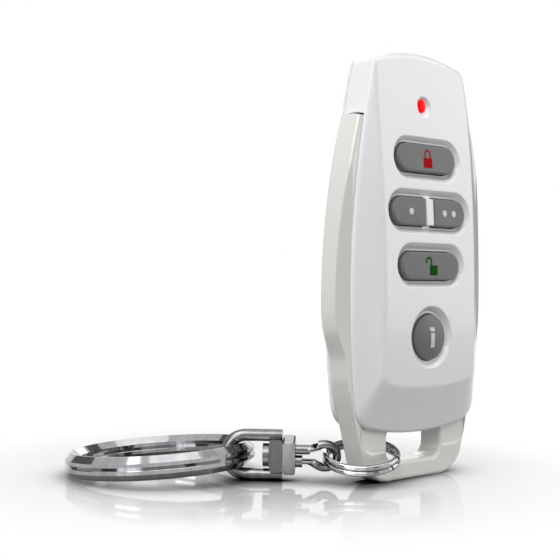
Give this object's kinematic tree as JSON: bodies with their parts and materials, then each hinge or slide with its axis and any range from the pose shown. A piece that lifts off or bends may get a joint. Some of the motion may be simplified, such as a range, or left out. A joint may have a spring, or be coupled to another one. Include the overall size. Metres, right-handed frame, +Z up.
{
  "type": "alarm key fob",
  "caption": "Slim alarm key fob with white covers, a warm grey side frame and loop, sprung grey keys with lock signs, a status light, and a swivel chain with a split key ring.",
  "frame": {"origin": "centre of the flat standing foot at the bottom of the loop, midway through the side frame's depth", "axes": "+Z up along the fob, -Y the way the keys face, +X to the right as one looks at the keys; the chain leaves to the back left"},
  "size_m": [0.0635, 0.0482, 0.0697],
  "materials": {
    "cover_white": "smooth moulded white plastic with a soft gloss",
    "frame_grey": "polished moulded plastic in a warm light grey",
    "key_grey": "fine satin texture, mid grey",
    "sign_red": "red inlay, level with the key",
    "sign_green": "dark green inlay, level with the key",
    "sign_pale": "pale grey inlay, level with the key",
    "light_red": "clear red light pipe, lit",
    "led_body": "pale moulded body of a small light chip",
    "board_green": "green solder mask",
    "switch_black": "black moulded housing",
    "plunger_ivory": "ivory moulded plunger",
    "cell_steel": "nickel plated can",
    "contact_steel": "thin spring strip",
    "chip_black": "black moulded package",
    "crystal_steel": "drawn metal can",
    "capacitor_tan": "ceramic",
    "resistor_black": "ceramic with a dark coat",
    "antenna_copper": "copper strip",
    "screw_steel": "plated steel",
    "chain_chrome": "polished nickel plating"
  },
  "bodies": {
    "fob": {"front_cover": "cover_white", "rear_cover": "cover_white", "side_frame": "frame_grey", "led_lens": "light_red", "status_led": "led_body", "circuit_board": "board_green", "coin_cell": "cell_steel", "battery_clip": "contact_steel", "battery_pad": "contact_steel", "microcontroller": "chip_black", "radio_chip": "chip_black", "crystal": "crystal_steel", "capacitors": "capacitor_tan", "resistors": "resistor_black", "antenna_loop": "antenna_copper", "cover_screws": "screw_steel", "lock_switch": "switch_black", "one_dot_switch": "switch_black", "two_dot_switch": "switch_black", "unlock_switch": "switch_black", "info_switch": "switch_black"},
    "lock_button": {"lock_key": "key_grey", "lock_icon": "sign_red", "lock_plunger": "plunger_ivory"},
    "one_dot_button": {"one_dot_key": "key_grey", "one_dot_icon": "sign_pale", "one_dot_plunger": "plunger_ivory"},
    "two_dot_button": {"two_dot_key": "key_grey", "two_dot_icon": "sign_pale", "two_dot_plunger": "plunger_ivory"},
    "unlock_button": {"unlock_key": "key_grey", "unlock_icon": "sign_green", "unlock_plunger": "plunger_ivory"},
    "info_button": {"info_key": "key_grey", "info_icon": "sign_pale", "info_plunger": "plunger_ivory"},
    "jump": {"jump_ring": "chain_chrome"},
    "eye": {"eye_link": "chain_chrome", "swivel_pin": "chain_chrome"},
    "fork": {"fork_link": "chain_chrome"},
    "ring": {"key_ring": "chain_chrome"}
  },
  "joints": [
    {"name": "lock_press", "type": "slide", "parent": "fob", "child": "lock_button", "axis": [0, 1, 0], "range_m": [0, 0.0005], "stiffness_N_per_m": 1200},
    {"name": "one_dot_press", "type": "slide", "parent": "fob", "child": "one_dot_button", "axis": [0, 1, 0], "range_m": [0, 0.0005], "stiffness_N_per_m": 1200},
    {"name": "two_dot_press", "type": "slide", "parent": "fob", "child": "two_dot_button", "axis": [0, 1, 0], "range_m": [0, 0.0005], "stiffness_N_per_m": 1200},
    {"name": "unlock_press", "type": "slide", "parent": "fob", "child": "unlock_button", "axis": [0, 1, 0], "range_m": [0, 0.0005], "stiffness_N_per_m": 1200},
    {"name": "info_press", "type": "slide", "parent": "fob", "child": "info_button", "axis": [0, 1, 0], "range_m": [0, 0.0005], "stiffness_N_per_m": 1200},
    {"name": "jump_ring_turn", "type": "hinge", "parent": "fob", "child": "jump", "pos_m": [-0.0101, 0.00045, 0.00415], "axis": [0, 0, 1], "range_deg": [-40, 15]},
    {"name": "eye_swing", "type": "hinge", "parent": "jump", "child": "eye", "pos_m": [-0.014, 0.00468, 0.00415], "axis": [0.7112, 0.6563, 0.2521], "range_deg": [-60, 60]},
    {"name": "fork_swivel", "type": "hinge", "parent": "eye", "child": "fork", "pos_m": [-0.01858, 0.00964, 0.00415], "axis": [-0.6782, 0.7349, 0], "continuous": true},
    {"name": "key_ring_swing", "type": "hinge", "parent": "fork", "child": "ring", "pos_m": [-0.02475, 0.01632, 0.00415], "axis": [0, 0, 1], "range_deg": [-25, 35]}
  ]
}
